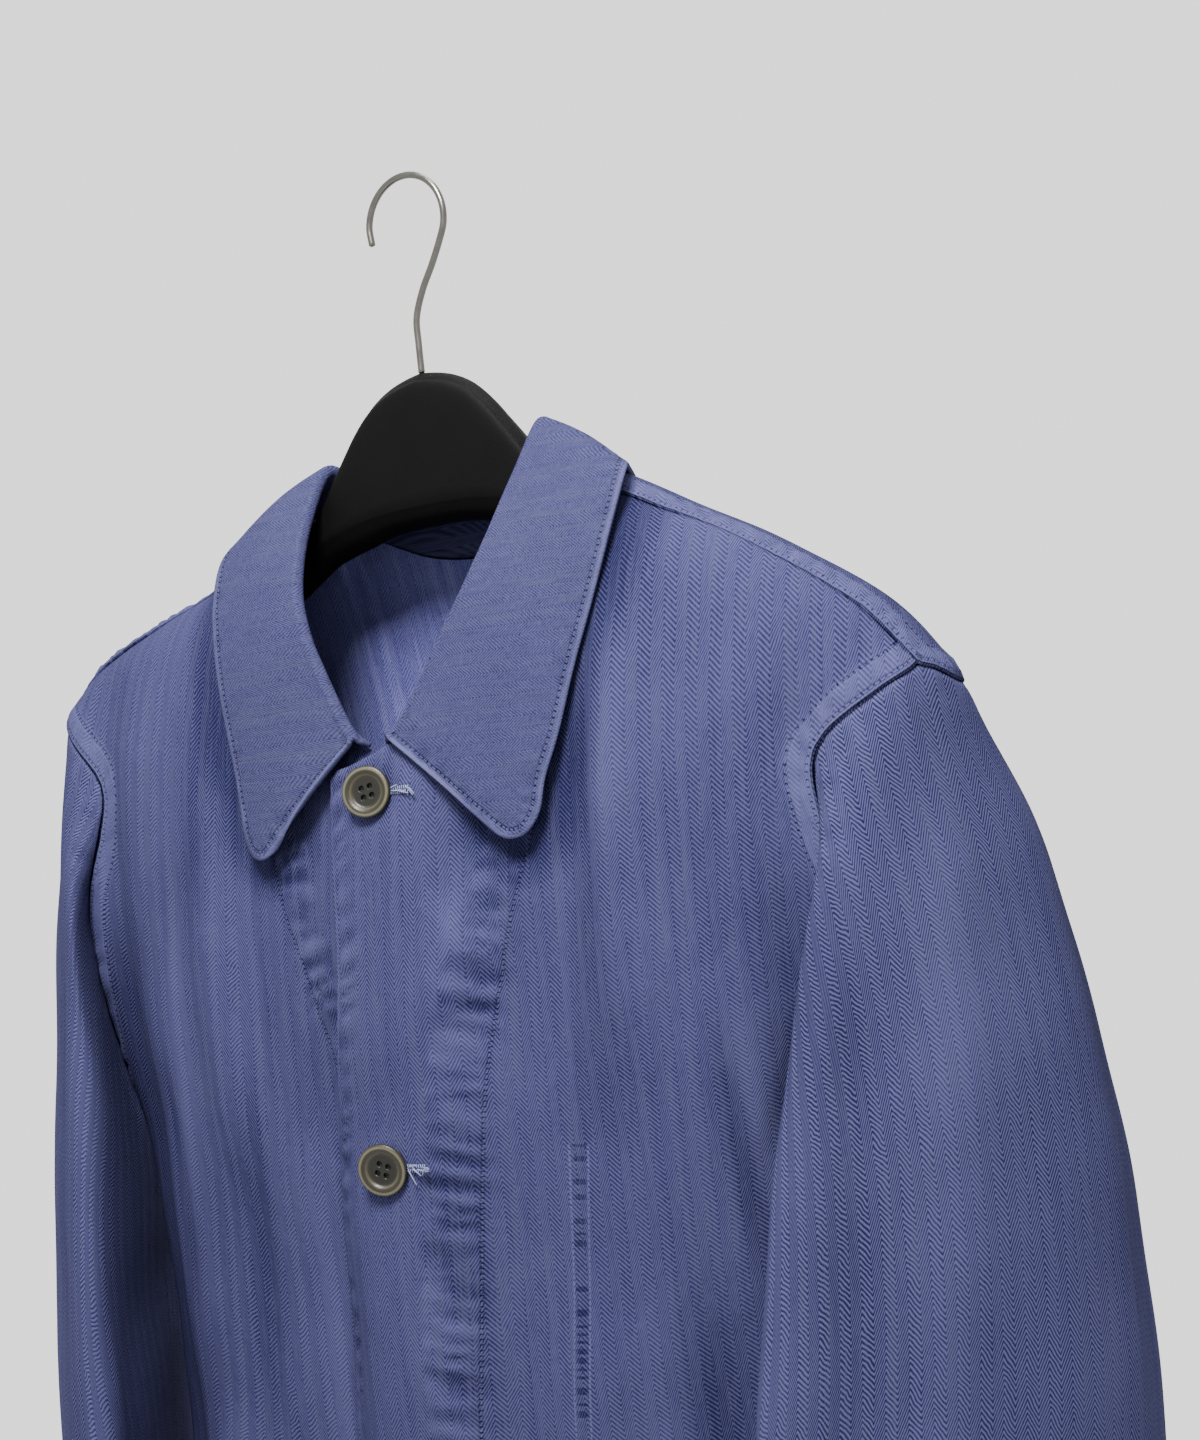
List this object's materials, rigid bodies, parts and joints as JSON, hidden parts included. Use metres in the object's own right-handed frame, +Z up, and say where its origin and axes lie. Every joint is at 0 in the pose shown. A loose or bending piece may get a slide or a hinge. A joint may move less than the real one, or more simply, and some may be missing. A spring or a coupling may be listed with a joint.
{
  "type": "chore jacket on a hanger",
  "caption": "Unlined herringbone chore jacket, hung open-hemmed on a flocked hanger with a wire hook, front buttoned, collar folded down.",
  "frame": {"origin": "inner top of the hook's crook, where the hook rests on its rail", "axes": "+Z up along the hook's stem, +X towards the wearer's left, -Y the jacket's front"},
  "size_m": [0.5328, 0.1716, 0.883],
  "materials": {
    "body_cloth": "washed herringbone cotton twill, matt",
    "sleeve_cloth": "washed herringbone cotton twill, matt",
    "collar_cloth": "washed herringbone cotton twill, faded at the edges",
    "button": "satin, dished",
    "hanger": "flocked black",
    "wire": "polished wire"
  },
  "bodies": {
    "root": {"front_left": "body_cloth", "front_right": "body_cloth", "back": "body_cloth", "sleeve_left": "sleeve_cloth", "sleeve_right": "sleeve_cloth", "collar": "collar_cloth", "button_1": "button", "button_2": "button", "button_3": "button", "button_4": "button", "hanger_body": "hanger", "hanger_hook": "wire"}
  },
  "joints": []
}
